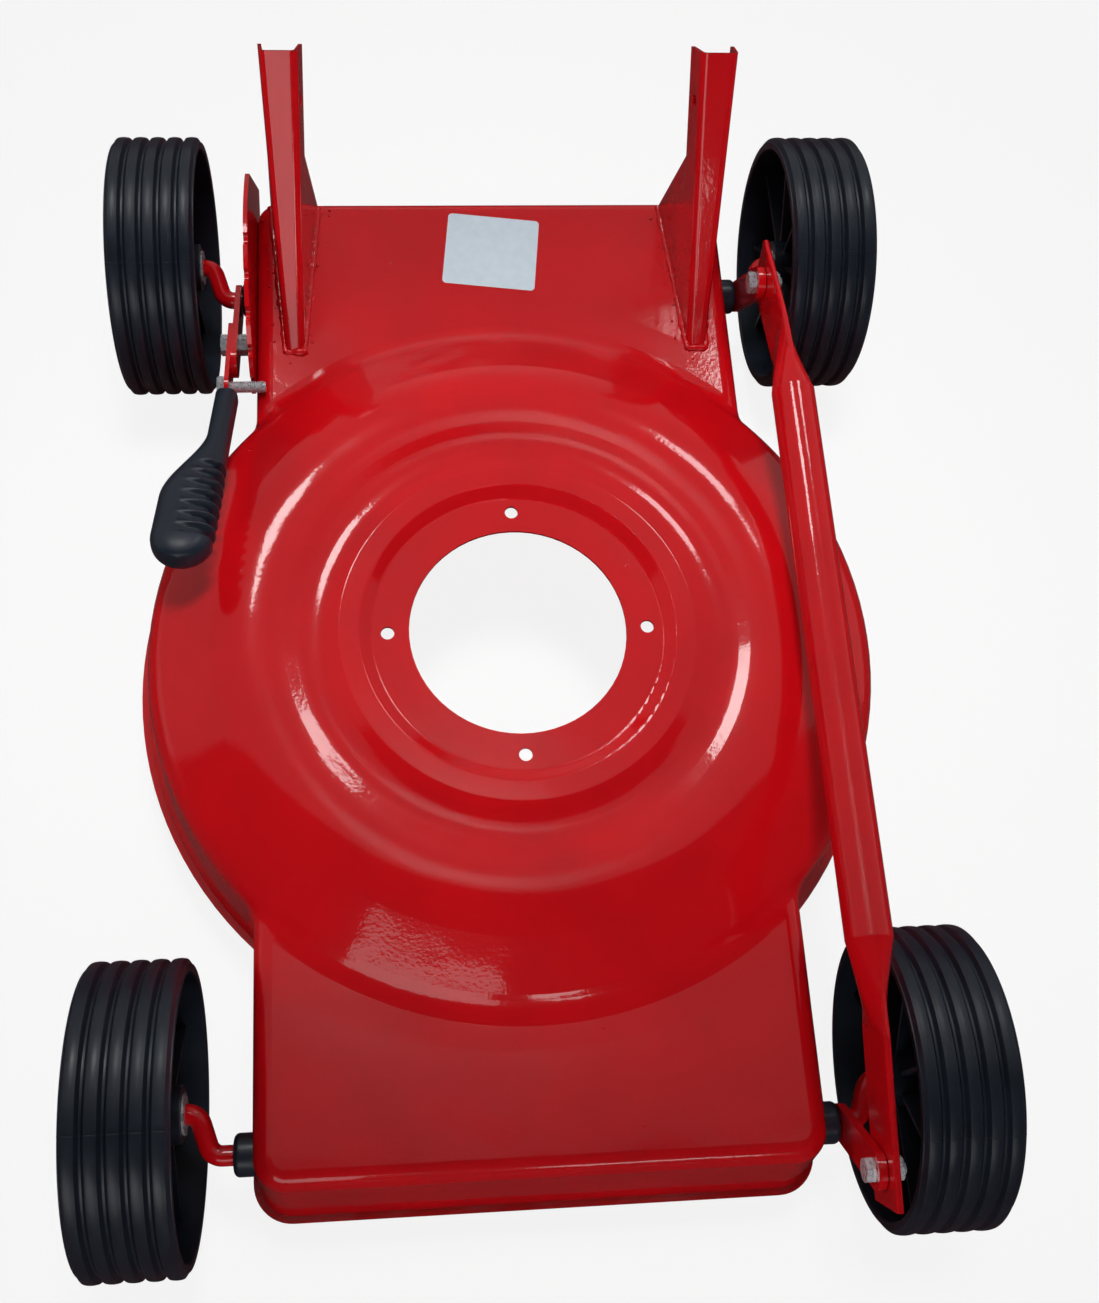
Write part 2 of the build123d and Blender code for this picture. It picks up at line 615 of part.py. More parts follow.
# Lever grip: moulded over the strip's tang, a narrow neck that flares outwards to a ribbed paddle
lean = radians(LEVER_OUTWARD_LEAN)
grip_line = LEVER_LINE * cos(lean) - Vector(sin(lean), 0, 0)
grip_middle_x = strip_face(GRIP_START) + LEVER_STRIP_THICKNESS / 2
grip_mouth = REAR_PIVOT + LEVER_LINE * GRIP_START - Vector(grip_middle_x, 0, 0)
grip_plan = Plane(origin=grip_mouth, x_dir=grip_line, z_dir=LEVER_ACROSS)
with BuildPart() as lever_grip:
    with BuildSketch(grip_plan):
        with BuildLine():
            FilletPolyline(
                (0, -GRIP_MOUTH_HALF),
                (0, GRIP_MOUTH_HALF),
                (GRIP_NECK_LENGTH, GRIP_MOUTH_HALF),
                (GRIP_NECK_LENGTH + GRIP_FLARE_LENGTH, GRIP_PADDLE_OUT),
                (GRIP_LENGTH, GRIP_PADDLE_OUT),
                (GRIP_LENGTH, -GRIP_PADDLE_IN),
                (GRIP_NECK_LENGTH, -GRIP_PADDLE_IN),
                radius=[0, 0, GRIP_NECK_R, GRIP_NECK_R, GRIP_END_R, GRIP_END_R, GRIP_NECK_R],
                close=True,
            )
        make_face()
    extrude(amount=GRIP_THICKNESS / 2, both=True)
    rims = lever_grip.faces().filter_by(Axis((0, 0, 0), LEVER_ACROSS)).edges()
    fillet(rims, GRIP_EDGE_R)
    with BuildSketch(grip_plan):
        for groove in range(GRIP_GROOVES):
            with Locations((GRIP_LENGTH - GRIP_GROOVE_MARGIN - groove * GRIP_GROOVE_PITCH, -GRIP_PADDLE_IN)):
                Rectangle(GRIP_GROOVE_WIDTH, 2 * GRIP_GROOVE_DEPTH)
    extrude(amount=GRIP_THICKNESS, both=True, mode=Mode.SUBTRACT)
    with BuildSketch(grip_plan):
        pocket_half = LEVER_STRIP_THICKNESS / 2 + RUNNING_CLEARANCE
        pocket_length = LEVER_TANG_LENGTH / cos(lean) + FACE_GAP
        Rectangle(pocket_length, 2 * pocket_half, align=(Align.MIN, Align.CENTER))
    extrude(amount=LEVER_TANG_WIDTH / 2 + RUNNING_CLEARANCE, both=True, mode=Mode.SUBTRACT)
write(lever_grip.part, "lever_grip")


# Wheels: one moulding each, ribbed tread, an outer disc, spokes on the inner side and a hub
def wheel(stub_y, side):
    """Wheel at the end of a stub, its disc and nut recess on the outer side."""
    centre = Vector(side * HALF_TRACK, stub_y, STUB_Z)
    outward = Vector(side, 0, 0)
    tread_r = WHEEL_D / 2
    half = WHEEL_WIDTH / 2
    pitch = WHEEL_WIDTH / TREAD_RIBS
    rim_r = tread_r - GROOVE_DEPTH - RIM_WALL
    hub_r = HUB_D / 2
    bore_r = BAR_R + SEAT_CLEARANCE
    hub_in = HUB_INNER_X - HALF_TRACK
    hub_out = HUB_OUTER_X - HALF_TRACK
    disc_out = half - DISC_RECESS
    disc_in = disc_out - DISC_THICKNESS
    tread = [(tread_r - GROOVE_DEPTH, -half)]
    for rib in range(TREAD_RIBS):
        start = -half + rib * pitch
        tread += [(tread_r, start + GROOVE_HALF_WIDTH), (tread_r, start + pitch - GROOVE_HALF_WIDTH)]
        tread.append((tread_r - GROOVE_DEPTH, start + pitch))
    inside = [
        (rim_r, half),
        (rim_r, disc_out),
        (hub_r, disc_out),
        (hub_r, hub_out),
        (bore_r, hub_out),
        (bore_r, hub_in),
        (hub_r, hub_in),
        (hub_r, disc_in),
        (rim_r, disc_in),
        (rim_r, -half),
    ]
    section = Plane(origin=centre, x_dir=(0, 1, 0), z_dir=(0, 0, -side))
    spoke_face = Plane(origin=centre + outward * (SPOKE_SETBACK - half), z_dir=outward)
    spoke_length = rim_r - hub_r + RIM_WALL
    with BuildPart() as moulding:
        with BuildSketch(section):
            Polygon(*tread, *inside, align=None)
        revolve(axis=Axis(centre, outward))
        with BuildSketch(spoke_face):
            with PolarLocations((rim_r + hub_r) / 2, SPOKE_COUNT, start_angle=90):
                Rectangle(spoke_length, SPOKE_THICKNESS)
        extrude(amount=disc_in - SPOKE_SETBACK + half)
    return moulding.part


for axle_name, pivot_y in AXLES.items():
    stub_y = pivot_y + CRANK_TRAIL
    for side_name, side in SIDES.items():
        place = f"{axle_name}_{side_name}"
        inner_face = (side * INNER_WASHER_X, stub_y, STUB_Z)
        outer_face = (side * OUTER_WASHER_X, stub_y, STUB_Z)
        nut_face = (side * AXLE_NUT_X, stub_y, STUB_Z)
        write(wheel(stub_y, side), f"wheel_{place}")
        write(ring_on_x(inner_face, side, WASHER_THICKNESS, BAR_D, outer_d=WASHER_D), f"inner_washer_{place}")
        write(ring_on_x(outer_face, side, WASHER_THICKNESS, BAR_D, outer_d=WASHER_D), f"outer_washer_{place}")
        write(ring_on_x(nut_face, side, AXLE_NUT_HEIGHT, BAR_D, flats=AXLE_NUT_FLATS), f"wheel_nut_{place}")
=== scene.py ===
import json
import math

import bmesh
import bpy
from mathutils import Matrix, Vector

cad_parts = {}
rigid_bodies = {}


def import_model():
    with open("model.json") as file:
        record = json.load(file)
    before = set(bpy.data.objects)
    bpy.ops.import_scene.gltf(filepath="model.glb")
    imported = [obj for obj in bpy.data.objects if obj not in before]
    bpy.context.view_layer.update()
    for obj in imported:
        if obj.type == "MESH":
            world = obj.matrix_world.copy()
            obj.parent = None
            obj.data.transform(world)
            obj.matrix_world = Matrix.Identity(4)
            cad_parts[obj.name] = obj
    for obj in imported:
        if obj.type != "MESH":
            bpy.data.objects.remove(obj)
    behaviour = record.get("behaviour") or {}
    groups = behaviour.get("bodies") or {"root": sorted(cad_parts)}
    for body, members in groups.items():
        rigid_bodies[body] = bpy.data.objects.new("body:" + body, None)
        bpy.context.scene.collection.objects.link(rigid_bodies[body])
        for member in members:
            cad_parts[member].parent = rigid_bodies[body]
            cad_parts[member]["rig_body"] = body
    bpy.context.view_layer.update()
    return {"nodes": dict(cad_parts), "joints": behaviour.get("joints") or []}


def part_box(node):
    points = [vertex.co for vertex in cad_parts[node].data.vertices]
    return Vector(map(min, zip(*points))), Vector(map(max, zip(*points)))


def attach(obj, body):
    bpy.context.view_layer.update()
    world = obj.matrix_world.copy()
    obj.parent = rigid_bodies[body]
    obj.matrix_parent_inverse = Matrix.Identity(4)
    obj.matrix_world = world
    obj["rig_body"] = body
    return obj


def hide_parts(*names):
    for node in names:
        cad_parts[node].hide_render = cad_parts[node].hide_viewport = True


# Deck of a walk-behind rotary lawn mower, dressed over its frame. Metres, in the frame's own axes:
# the origin is the middle of the engine hole, +Y points to the handle and +X to the link rod.
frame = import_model()
nodes = frame["nodes"]
MM = 0.001

# Deck shell: one pressing of 2 mm sheet steel, domed over the blade with a dished engine seat.
# It is sprayed with red enamel, thin and thick in places, and stoved hard.


def linear(hex_colour):
    """An sRGB hex colour as linear red, green, blue and alpha."""
    channels = [int(hex_colour[i : i + 2], 16) / 255 for i in (1, 3, 5)]
    return [c / 12.92 if c <= 0.04045 else ((c + 0.055) / 1.055) ** 2.4 for c in channels] + [1.0]


def add_node(tree, kind, settings=None, links=None):
    """Adds a node; settings name its properties or input sockets, links name its linked inputs."""
    node = tree.nodes.new(kind)
    for name, value in (settings or {}).items():
        if isinstance(name, str) and hasattr(node, name):
            setattr(node, name, value)
        else:
            node.inputs[name].default_value = value
    for name, socket in (links or {}).items():
        tree.links.new(socket, node.inputs[name])
    return node


def start_material(name):
    """A material with its shader and output, and the Object coordinates that its patterns read."""
    material = bpy.data.materials.new(name)
    material.use_nodes = True
    tree = material.node_tree
    tree.nodes.clear()
    shader = add_node(tree, "ShaderNodeBsdfPrincipled")
    add_node(tree, "ShaderNodeOutputMaterial", links={"Surface": shader.outputs["BSDF"]})
    place = add_node(tree, "ShaderNodeTexCoord").outputs["Object"]
    return material, tree, shader, place


def dress(material, *names):
    """Gives CAD nodes a finish."""
    for name in names:
        for material_slot in nodes[name].material_slots:
            material_slot.material = material


# Stoved enamel: a hard clear gloss over a deep red that is a shade darker where it pooled.
# The eye gets soft-edged lamp reflections, broken by orange peel, dust nibs and the sheet's slow waves.
ENAMEL_RED = "#C30A13"
ENAMEL_DEEP = "#B40811"
POOL_SIZE = 80 * MM
PEEL_SIZE = 2.5 * MM  # real orange peel is about 1 mm; drawn coarser so that it shows
PEEL_HEIGHT = 0.2 * MM
WAVE_SIZE = 60 * MM
WAVE_HEIGHT = 1.6 * MM
NIB_SPACING = 38 * MM
NIB_HEIGHT = 0.8 * MM
NIB_SHARE = 0.035  # a nib's radius as a share of the spacing

enamel, tree, shader, place = start_material("stoved_red_enamel")
pooling = add_node(
    tree,
    "ShaderNodeTexNoise",
    {"Scale": 1 / POOL_SIZE, "Detail": 4.0, "Roughness": 0.55},
    {"Vector": place},
)
pool_share = add_node(
    tree, "ShaderNodeMapRange", {"From Min": 0.35, "From Max": 0.7}, {"Value": pooling.outputs["Fac"]}
)
reds = add_node(
    tree,
    "ShaderNodeMix",
    {"data_type": "RGBA", 6: linear(ENAMEL_RED), 7: linear(ENAMEL_DEEP)},
    {0: pool_share.outputs["Result"]},
)
gloss = add_node(
    tree, "ShaderNodeMapRange", {"To Min": 0.16, "To Max": 0.3}, {"Value": pooling.outputs["Fac"]}
)
waves = add_node(tree, "ShaderNodeTexNoise", {"Scale": 1 / WAVE_SIZE, "Detail": 2.0}, {"Vector": place})
peel = add_node(tree, "ShaderNodeTexNoise", {"Scale": 1 / PEEL_SIZE, "Detail": 1.0}, {"Vector": place})
nibs = add_node(tree, "ShaderNodeTexVoronoi", {"Scale": 1 / NIB_SPACING}, {"Vector": place})
nib_height = add_node(
    tree,
    "ShaderNodeMapRange",
    {"From Max": NIB_SHARE, "To Min": 1.0, "To Max": 0.0, "interpolation_type": "SMOOTHSTEP"},
    {"Value": nibs.outputs["Distance"]},
)
wave_bump = add_node(
    tree, "ShaderNodeBump", {"Strength": 0.5, "Distance": WAVE_HEIGHT}, {"Height": waves.outputs["Fac"]}
)
peel_bump = add_node(
    tree,
    "ShaderNodeBump",
    {"Strength": 0.22, "Distance": PEEL_HEIGHT},
    {"Height": peel.outputs["Fac"], "Normal": wave_bump.outputs["Normal"]},
)
nib_bump = add_node(
    tree,
    "ShaderNodeBump",
    {"Strength": 0.7, "Distance": NIB_HEIGHT},
    {"Height": nib_height.outputs["Result"], "Normal": peel_bump.outputs["Normal"]},
)
tree.links.new(reds.outputs[2], shader.inputs["Base Color"])
tree.links.new(gloss.outputs["Result"], shader.inputs["Roughness"])
tree.links.new(nib_bump.outputs["Normal"], shader.inputs["Normal"])
tree.links.new(nib_bump.outputs["Normal"], shader.inputs["Coat Normal"])
shader.inputs["IOR"].default_value = 1.5
shader.inputs["Specular IOR Level"].default_value = 0.1
shader.inputs["Coat Weight"].default_value = 0.9
shader.inputs["Coat Roughness"].default_value = 0.07

dress(enamel, "deck_shell", "height_quadrant", "front_axle", "rear_axle", "link_rod")
dress(enamel, "front_link_arm", "rear_link_arm", "lever_arm", "height_lever")

# Handle brackets: folded channels of 2.5 mm sheet, welded by hand to the rear panel before paint.
# The beads run along the foot of both flanges, lumpy, with spatter beside them.
BRACKET_X = 141 * MM
BRACKET_FOOT_Y = 222 * MM
BRACKET_HEEL_Y = 343 * MM
BRACKET_FOOT_HALF = 6.5 * MM
BRACKET_HEEL_HALF = 16.9 * MM
BEAD_RADIUS = 2.4 * MM
BEAD_STEP = 2.0 * MM
BEAD_RIPPLE = 5 * MM
BEAD_THINNEST = 0.55  # shares of the bead's radius
BEAD_FATTEST = 1.35
SPATTER_STEP = 7 * MM
SPATTER_REACH = 9 * MM
SPATTER_RADIUS = 1.3 * MM
SMALLEST_DROP = 0.35  # share of the spatter's radius
PANEL_Z = -26 * MM


def finish_piece(name, mesh, material, body, slot, *replaced):
    """Adds a finished mesh to the scene as a piece that rides on a body."""
    mesh.materials.clear()
    mesh.materials.append(material)
    piece = bpy.data.objects.new(name, mesh)
    bpy.context.scene.collection.objects.link(piece)
    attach(piece, body)
    if replaced:
        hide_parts(*replaced)


def grow(name, base_mesh, tree, inputs):
    """Runs a geometry tree on a mesh and returns the plain mesh that comes out."""
    seed = bpy.data.objects.new(name + "_seed", base_mesh)
    bpy.context.scene.collection.objects.link(seed)
    modifier = seed.modifiers.new("tree", "NODES")
    modifier.node_group = tree
    for item in tree.interface.items_tree:
        if item.in_out == "INPUT" and item.name in inputs:
            modifier[item.identifier] = inputs[item.name]
    evaluated = seed.evaluated_get(bpy.context.evaluated_depsgraph_get())
    grown = bpy.data.meshes.new_from_object(evaluated)
    seed.modifiers.remove(modifier)
    bpy.data.objects.remove(seed)
    return grown


def start_tree(name, inputs):
    """A geometry tree with its named inputs, its input node and its output node."""
    tree = bpy.data.node_groups.new(name, "GeometryNodeTree")
    tree.interface.new_socket("Geometry", in_out="INPUT", socket_type="NodeSocketGeometry")
    for label, kind in inputs.items():
        tree.interface.new_socket(label, in_out="INPUT", socket_type=kind)
    tree.interface.new_socket("Geometry", in_out="OUTPUT", socket_type="NodeSocketGeometry")
    return tree, add_node(tree, "NodeGroupInput"), add_node(tree, "NodeGroupOutput")


FLOAT = "NodeSocketFloat"
bead_tree, given, result = start_tree(
    "weld_bead",
    {
        "Radius": FLOAT,
        "Step": FLOAT,
        "Ripple": FLOAT,
        "Spatter Step": FLOAT,
        "Spatter Reach": FLOAT,
        "Spatter Radius": FLOAT,
        "Finish": "NodeSocketMaterial",
    },
)
run = add_node(bead_tree, "GeometryNodeMeshToCurve", links={"Mesh": given.outputs["Geometry"]})
fine = add_node(
    bead_tree,
    "GeometryNodeResampleCurve",
    {"mode": "LENGTH"},
    {"Curve": run.outputs["Curve"], "Length": given.outputs["Step"]},
)
where = add_node(bead_tree, "GeometryNodeInputPosition")
ripple_scale = add_node(
    bead_tree, "ShaderNodeMath", {"operation": "DIVIDE", 0: 1.0}, {1: given.outputs["Ripple"]}
)
lumps = add_node(
    bead_tree,
    "ShaderNodeTexNoise",
    {"Detail": 2.0},
    {"Vector": where.outputs["Position"], "Scale": ripple_scale.outputs["Value"]},
)
lump_size = add_node(
    bead_tree,
    "ShaderNodeMapRange",
    {"From Min": 0.3, "From Max": 0.7, "To Min": BEAD_THINNEST, "To Max": BEAD_FATTEST},
    {"Value": lumps.outputs["Fac"]},
)
ring = add_node(
    bead_tree,
    "GeometryNodeCurvePrimitiveCircle",
    {"Resolution": 12},
    {"Radius": given.outputs["Radius"]},
)
bead = add_node(
    bead_tree,
    "GeometryNodeCurveToMesh",
    {"Fill Caps": True},
    {
        "Curve": fine.outputs["Curve"],
        "Profile Curve": ring.outputs["Curve"],
        "Scale": lump_size.outputs["Result"],
    },
)
drops = add_node(
    bead_tree,
    "GeometryNodeCurveToPoints",
    {"mode": "LENGTH"},
    {"Curve": run.outputs["Curve"], "Length": given.outputs["Spatter Step"]},
)
stray = add_node(
    bead_tree,
    "FunctionNodeRandomValue",
    {"data_type": "FLOAT_VECTOR", 0: (-1, -1, 0), 1: (1, 1, 0), "Seed": 3},
)
stray_far = add_node(
    bead_tree,
    "ShaderNodeVectorMath",
    {"operation": "SCALE"},
    {0: stray.outputs[0], "Scale": given.outputs["Spatter Reach"]},
)
strewn = add_node(
    bead_tree,
    "GeometryNodeSetPosition",
    links={"Geometry": drops.outputs["Points"], "Offset": stray_far.outputs["Vector"]},
)
drop = add_node(
    bead_tree,
    "GeometryNodeMeshIcoSphere",
    {"Subdivisions": 2},
    {"Radius": given.outputs["Spatter Radius"]},
)
drop_size = add_node(
    bead_tree,
    "FunctionNodeRandomValue",
    {"data_type": "FLOAT", 2: SMALLEST_DROP, 3: 1.0, "Seed": 5},
)
spatter = add_node(
    bead_tree,
    "GeometryNodeInstanceOnPoints",
    links={
        "Points": strewn.outputs["Geometry"],
        "Instance": drop.outputs["Mesh"],
        "Scale": drop_size.outputs[1],
    },
)
weld = add_node(bead_tree, "GeometryNodeJoinGeometry", links={"Geometry": bead.outputs["Mesh"]})
bead_tree.links.new(spatter.outputs["Instances"], weld.inputs["Geometry"])
soft = add_node(bead_tree, "GeometryNodeSetShadeSmooth", links={"Geometry": weld.outputs["Geometry"]})
whole = add_node(
    bead_tree, "GeometryNodeRealizeInstances", links={"Geometry": soft.outputs["Geometry"]}
)
painted = add_node(
    bead_tree,
    "GeometryNodeSetMaterial",
    links={"Geometry": whole.outputs["Geometry"], "Material": given.outputs["Finish"]},
)
bead_tree.links.new(painted.outputs["Geometry"], result.inputs["Geometry"])

for side_name, side in (("left", -1), ("right", 1)):
    bracket = f"handle_bracket_{side_name}"
    dress(enamel, bracket)
    runs = bpy.data.meshes.new("bead_runs")
    corners = []
    for flange in (-1, 1):
        for half, y in ((BRACKET_HEEL_HALF, BRACKET_HEEL_Y), (BRACKET_FOOT_HALF, BRACKET_FOOT_Y)):
            corners.append((side * BRACKET_X + flange * half, y, PANEL_Z))
    runs.from_pydata(corners, [(0, 1), (1, 3), (3, 2)], [])
    sizes = {
        "Radius": BEAD_RADIUS,
        "Step": BEAD_STEP,
        "Ripple": BEAD_RIPPLE,
        "Spatter Step": SPATTER_STEP,
        "Spatter Reach": SPATTER_REACH,
        "Spatter Radius": SPATTER_RADIUS,
        "Finish": enamel,
    }
    beads = grow("weld_bead", runs, bead_tree, sizes)
    finish_piece(f"weld_bead_{side_name}", beads, enamel, "deck", "red_enamel")

# Stock label: a plain self-adhesive label of coated paper, die-cut with rounded corners. It is pressed
# on to the rear panel by hand, a little askew, and carries no print.
LABEL_CENTRE = Vector((-0.7 * MM, 304.5 * MM, PANEL_Z))
LABEL_WIDTH = 66 * MM
LABEL_LENGTH = 60 * MM
LABEL_CORNER = 3 * MM
LABEL_CORNER_STEPS = 5
LABEL_TURN = math.radians(-6.8)
LABEL_THICKNESS = 0.15 * MM
LABEL_SHADE = "#C0CFD9"
LABEL_WHITE = "#D2E0E9"
FIBRE_SIZE = 6 * MM
FIBRE_HEIGHT = 0.2 * MM

# Coated paper: a cool off-white, faintly fibrous, with a low sheen from its coating.
coated_paper, tree, shader, place = start_material("coated_label_paper")
fibres = add_node(
    tree, "ShaderNodeTexNoise", {"Scale": 1 / FIBRE_SIZE, "Detail": 6.0}, {"Vector": place}
)
paper_tone = add_node(
    tree,
    "ShaderNodeMix",
    {"data_type": "RGBA", 6: linear(LABEL_SHADE), 7: linear(LABEL_WHITE)},
    {0: fibres.outputs["Fac"]},
)
paper_bump = add_node(
    tree,
    "ShaderNodeBump",
    {"Strength": 0.15, "Distance": FIBRE_HEIGHT},
    {"Height": fibres.outputs["Fac"]},
)
tree.links.new(paper_tone.outputs[2], shader.inputs["Base Color"])
tree.links.new(paper_bump.outputs["Normal"], shader.inputs["Normal"])
shader.inputs["Roughness"].default_value = 0.45

label = bmesh.new()
bmesh.ops.create_cube(label, size=1.0)
bmesh.ops.scale(label, verts=label.verts, vec=(LABEL_WIDTH, LABEL_LENGTH, LABEL_THICKNESS))
upright = [e for e in label.edges if abs(e.verts[0].co.z - e.verts[1].co.z) > LABEL_THICKNESS / 2]
bmesh.ops.bevel(
    label, geom=upright, offset=LABEL_CORNER, segments=LABEL_CORNER_STEPS, affect="EDGES", profile=0.5
)
place_label = Matrix.Translation(LABEL_CENTRE + Vector((0, 0, LABEL_THICKNESS / 2)))
bmesh.ops.transform(label, matrix=place_label @ Matrix.Rotation(LABEL_TURN, 4, "Z"), verts=label.verts)
label_mesh = bpy.data.meshes.new("stock_label")
label.to_mesh(label_mesh)
label.free()
finish_piece("stock_label", label_mesh, coated_paper, "deck", "red_enamel")

# Wheels: four one-piece mouldings in black polypropylene, with five round ribs on the tread, a disc
# near the outer side, eight thin spokes behind it and a hub that runs on the axle's stub.
TREAD_RIBS = 5
GROOVE_DEPTH = 3.5 * MM
GROOVE_HALF = 1.9 * MM
GROOVE_SQUARENESS = 4  # 2 is a soft valley, more is squarer
RIB_CROWN = 0.6 * MM
RIB_STEPS = 18
WHEEL_TURNS = 144
RIM_WALL = 4.5 * MM
DISC_RECESS = 16 * MM
DISC_THICKNESS = 4 * MM
HUB_RADIUS = 17 * MM
BORE_RADIUS = 6.1 * MM
HUB_GAP = 0.3 * MM
EDGE_ROUND = 0.8 * MM
SPOKE_COUNT = 8
SPOKE_THICKNESS = 2.6 * MM
SPOKE_SETBACK = 12 * MM
SEAM_HALF = 0.6 * MM
SEAM_HEIGHT = 0.55 * MM
PLASTIC_BLACK = "#0E1219"
PLASTIC_SCUFFED = "#232A36"
SCUFF_SIZE = 26 * MM
GRAIN_SIZE = 1.2 * MM
GRAIN_HEIGHT = 0.1 * MM
# How far round each wheel stands with its mould line, in degrees
SEAM_TURNS = {"front_left": 100, "front_right": 118, "rear_left": 123, "rear_right": 120}

# Moulded polypropylene: a blue-black with a waxy sheen, a faint grain and handling scuffs.
polypropylene, tree, shader, place = start_material("moulded_black_polypropylene")
scuffs = add_node(
    tree,
    "ShaderNodeTexNoise",
    {"Scale": 1 / SCUFF_SIZE, "Detail": 8.0, "Roughness": 0.7},
    {"Vector": place},
)
grain = add_node(
    tree, "ShaderNodeTexNoise", {"Scale": 1 / GRAIN_SIZE, "Detail": 2.0}, {"Vector": place}
)
blacks = add_node(
    tree,
    "ShaderNodeMix",
    {"data_type": "RGBA", 6: linear(PLASTIC_BLACK), 7: linear(PLASTIC_SCUFFED)},
    {0: scuffs.outputs["Fac"]},
)
sheen = add_node(
    tree,
    "ShaderNodeMapRange",
    {"From Min": 0.3, "From Max": 0.7, "To Min": 0.28, "To Max": 0.42},
    {"Value": scuffs.outputs["Fac"]},
)
grain_bump = add_node(
    tree,
    "ShaderNodeBump",
    {"Strength": 0.2, "Distance": GRAIN_HEIGHT},
    {"Height": grain.outputs["Fac"]},
)
tree.links.new(blacks.outputs[2], shader.inputs["Base Color"])
tree.links.new(sheen.outputs["Result"], shader.inputs["Roughness"])
tree.links.new(grain_bump.outputs["Normal"], shader.inputs["Normal"])
shader.inputs["IOR"].default_value = 1.49


def spin(profile, turns):
    """A closed profile of (radius, height) pairs turned round the Z axis, as a bmesh."""
    form = bmesh.new()
    ring = [form.verts.new((radius, 0, height)) for radius, height in profile]
    loop = [form.edges.new((a, b)) for a, b in zip(ring, ring[1:] + ring[:1])]
    bmesh.ops.spin(form, geom=ring + loop, axis=(0, 0, 1), steps=turns, angle=math.tau)
    bmesh.ops.remove_doubles(form, verts=form.verts, dist=1e-6)
    bmesh.ops.recalc_face_normals(form, faces=form.faces)
    return form


def plain_mesh(name, form, smooth_below=math.radians(35)):
    """The bmesh as a mesh, shaded smooth up to an angle."""
    for edge in form.edges:
        edge.smooth = len(edge.link_faces) == 2 and edge.calc_face_angle() < smooth_below
    for face in form.faces:
        face.smooth = True
    mesh = bpy.data.meshes.new(name)
    form.to_mesh(mesh)
    form.free()
    return mesh


spoke_tree, given, result = start_tree(
    "wheel_spokes",
    {
        "Count": "NodeSocketInt",
        "Radius": FLOAT,
        "Height": FLOAT,
        "Size": "NodeSocketVector",
        "Finish": "NodeSocketMaterial",
    },
)
stations = add_node(
    spoke_tree,
    "GeometryNodeMeshCircle",
    links={"Vertices": given.outputs["Count"], "Radius": given.outputs["Radius"]},
)
spoke = add_node(spoke_tree, "GeometryNodeMeshCube", links={"Size": given.outputs["Size"]})
where = add_node(spoke_tree, "GeometryNodeInputPosition")
radial = add_node(
    spoke_tree,
    "FunctionNodeAlignRotationToVector",
    {"axis": "X"},
    {"Vector": where.outputs["Position"]},
)
fan = add_node(
    spoke_tree,
    "GeometryNodeInstanceOnPoints",
    links={
        "Points": stations.outputs["Mesh"],
        "Instance": spoke.outputs["Mesh"],
        "Rotation": radial.outputs["Rotation"],
    },
)
lift = add_node(spoke_tree, "ShaderNodeCombineXYZ", links={"Z": given.outputs["Height"]})
raised = add_node(
    spoke_tree,
    "GeometryNodeTransform",
    links={"Geometry": fan.outputs["Instances"], "Translation": lift.outputs["Vector"]},
)
both = add_node(spoke_tree, "GeometryNodeJoinGeometry", links={"Geometry": given.outputs["Geometry"]})
spoke_tree.links.new(raised.outputs["Geometry"], both.inputs["Geometry"])
whole = add_node(
    spoke_tree, "GeometryNodeRealizeInstances", links={"Geometry": both.outputs["Geometry"]}
)
moulded = add_node(
    spoke_tree,
    "GeometryNodeSetMaterial",
    links={"Geometry": whole.outputs["Geometry"], "Material": given.outputs["Finish"]},
)
spoke_tree.links.new(moulded.outputs["Geometry"], result.inputs["Geometry"])

